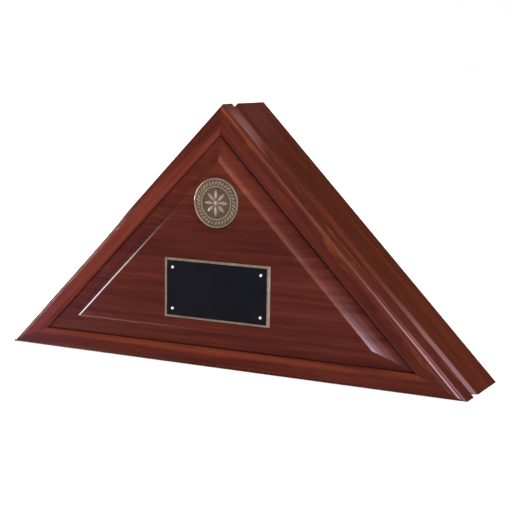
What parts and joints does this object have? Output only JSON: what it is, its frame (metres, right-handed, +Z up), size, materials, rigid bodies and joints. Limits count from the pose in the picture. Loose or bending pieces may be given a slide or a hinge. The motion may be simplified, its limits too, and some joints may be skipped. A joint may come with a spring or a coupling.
{
  "type": "folded flag display case",
  "caption": "Triangular wooden flag case with a raised-panel front door hinged along its left slope, a medallion and a name plate.",
  "frame": {"origin": "centre of the overall box, at the underside of the base", "axes": "+X to the right seen from the front, +Y from the front to the back, +Z up"},
  "size_m": [0.66, 0.1282, 0.337],
  "materials": {
    "stained_wood": "dark cherry stain, glossy lacquer",
    "panel_wood": "dark cherry stain, glossy lacquer, grain level",
    "spline_wood": "plain wood",
    "back_plywood": "stained plywood, satin",
    "antique_bronze": "antique bronze, matt with polished high spots",
    "adhesive_pad": "soft foam",
    "plate_border_brass": "satin, bevelled edge",
    "black_lacquer": "black lacquer, semi-gloss",
    "bright_brass": "polished",
    "hinge_brass": "polished",
    "hinge_pin_steel": "drawn",
    "screw_brass": "polished",
    "strike_steel": "zinc plated",
    "nickel_magnet": "nickel plated",
    "back_screw_steel": "yellow zinc"
  },
  "bodies": {
    "box": {"base_board": "stained_wood", "right_board": "stained_wood", "left_board": "stained_wood", "box_mitre_splines": "spline_wood", "back_panel": "back_plywood", "upper_hinge_case_leaf": "hinge_brass", "lower_hinge_case_leaf": "hinge_brass", "upper_hinge_pin": "hinge_pin_steel", "lower_hinge_pin": "hinge_pin_steel", "case_hinge_screws": "screw_brass", "catch_magnets": "nickel_magnet", "back_panel_screws": "back_screw_steel"},
    "door": {"door_bottom_rail": "stained_wood", "door_right_stile": "stained_wood", "door_left_stile": "stained_wood", "door_mitre_splines": "spline_wood", "door_panel": "panel_wood", "medallion": "antique_bronze", "medallion_pad": "adhesive_pad", "name_plate_backing": "plate_border_brass", "name_plate_insert": "black_lacquer", "name_plate_pins": "bright_brass", "upper_hinge_door_leaf": "hinge_brass", "lower_hinge_door_leaf": "hinge_brass", "door_hinge_screws": "screw_brass", "catch_strikes": "strike_steel", "catch_strike_screws": "screw_brass"}
  },
  "joints": [
    {"name": "door_hinge", "type": "hinge", "parent": "box", "child": "door", "pos_m": [-0.16343, -0.017, 0.16696], "axis": [-0.6996, 0, -0.7145], "range_deg": [0, 140]}
  ]
}
